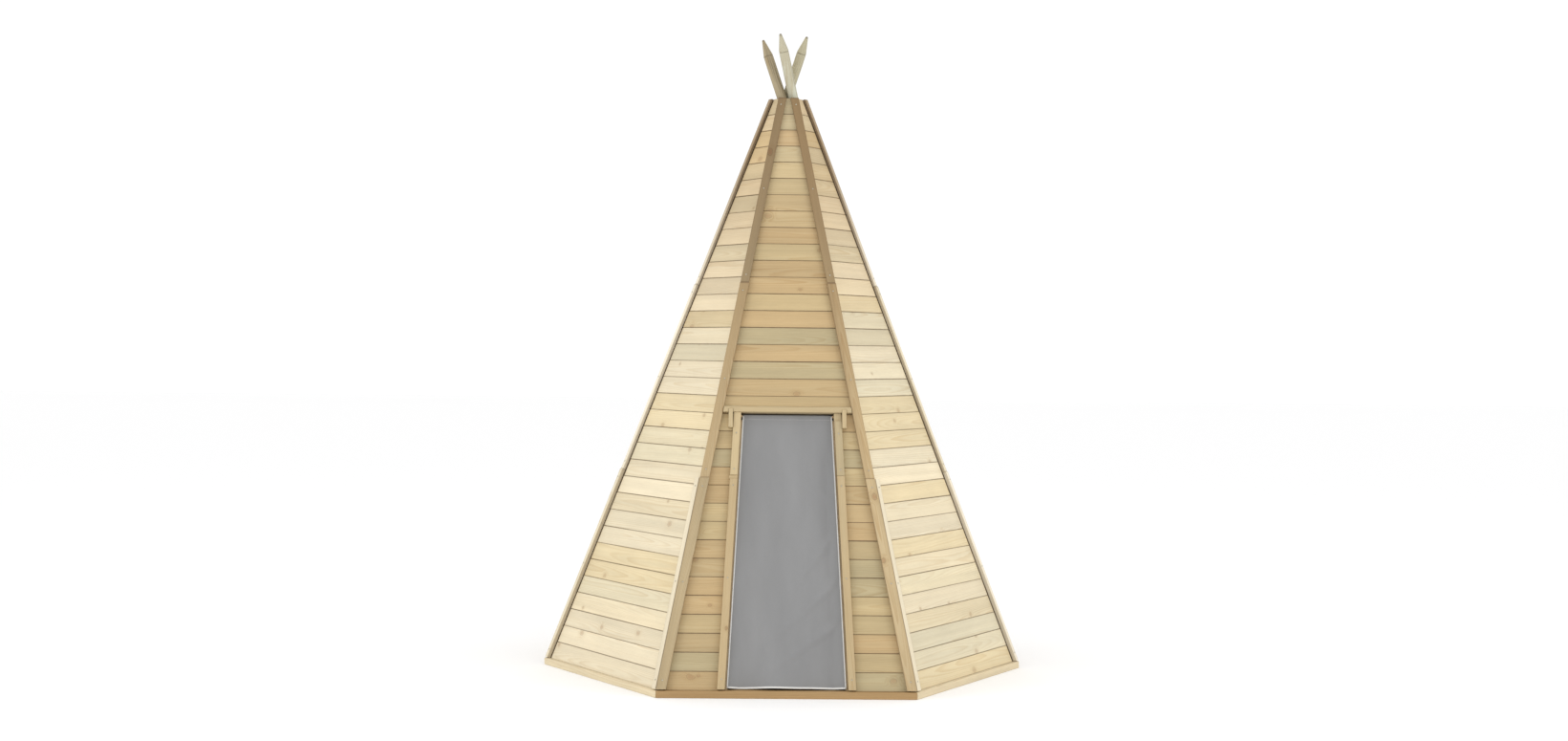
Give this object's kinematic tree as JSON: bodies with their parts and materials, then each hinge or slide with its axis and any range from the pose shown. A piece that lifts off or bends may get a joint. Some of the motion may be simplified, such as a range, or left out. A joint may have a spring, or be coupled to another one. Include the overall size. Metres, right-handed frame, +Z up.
{
  "type": "wooden teepee playhouse",
  "caption": "Six-sided tapering timber teepee playhouse with level boards, corner trims, crossed poles at the open top and a cloth door flap hung on a rod.",
  "frame": {"origin": "on the ground at the centre of the hexagonal base", "axes": "+Z up; the doorway faces -Y; +X to the right of someone facing the doorway"},
  "size_m": [2.429, 2.1038, 3.2113],
  "materials": {
    "side_boards": "planed softwood, pale cream, clear preservative",
    "front_boards": "planed softwood, honey tan, clear preservative",
    "trim_timber": "planed softwood trim, greyish tan",
    "base_timber": "sawn softwood, brown",
    "frame_timber": "sawn softwood, unfinished",
    "pole_timber": "machine rounded, pressure treated, pale green grey",
    "flap_cloth": "grey woven outdoor cloth with a pale hem",
    "screws": "zinc plated"
  },
  "bodies": {
    "den": {"rail_front": "base_timber", "rail_front_right": "base_timber", "rail_back_right": "base_timber", "rail_back": "base_timber", "rail_back_left": "base_timber", "rail_front_left": "base_timber", "boards_front_lower": "front_boards", "boards_front_middle": "front_boards", "boards_front_upper": "front_boards", "boards_front_right_lower": "side_boards", "boards_front_right_middle": "side_boards", "boards_front_right_upper": "side_boards", "boards_back_right_lower": "front_boards", "boards_back_right_middle": "front_boards", "boards_back_right_upper": "front_boards", "boards_back_lower": "side_boards", "boards_back_middle": "side_boards", "boards_back_upper": "side_boards", "boards_back_left_lower": "front_boards", "boards_back_left_middle": "front_boards", "boards_back_left_upper": "front_boards", "boards_front_left_lower": "side_boards", "boards_front_left_middle": "side_boards", "boards_front_left_upper": "side_boards", "frame_front": "frame_timber", "frame_front_right": "frame_timber", "frame_back_right": "frame_timber", "frame_back": "frame_timber", "frame_back_left": "frame_timber", "frame_front_left": "frame_timber", "trim_front_right": "trim_timber", "trim_right": "trim_timber", "trim_back_right": "trim_timber", "trim_back_left": "trim_timber", "trim_left": "trim_timber", "trim_front_left": "trim_timber", "strip_front_right": "side_boards", "strip_right": "side_boards", "strip_back_right": "side_boards", "strip_back_left": "side_boards", "strip_left": "side_boards", "strip_front_left": "side_boards", "pole_left": "pole_timber", "pole_middle": "pole_timber", "pole_right": "pole_timber", "pole_plate": "frame_timber", "lintel": "trim_timber", "lintel_cleats": "trim_timber", "jamb_left_lower": "trim_timber", "jamb_left_upper": "trim_timber", "jamb_right_lower": "trim_timber", "jamb_right_upper": "trim_timber", "jamb_blocks": "base_timber", "door_stops": "frame_timber", "flap_rod": "frame_timber", "trim_screws": "screws", "door_screws": "screws", "panel_bolts": "screws"},
    "flap": {"door_flap": "flap_cloth"}
  },
  "joints": [
    {"name": "flap_swing", "type": "hinge", "parent": "den", "child": "flap", "pos_m": [0, -0.58559, 1.29207], "axis": [-1, 0, 0], "range_deg": [0, 85]}
  ]
}
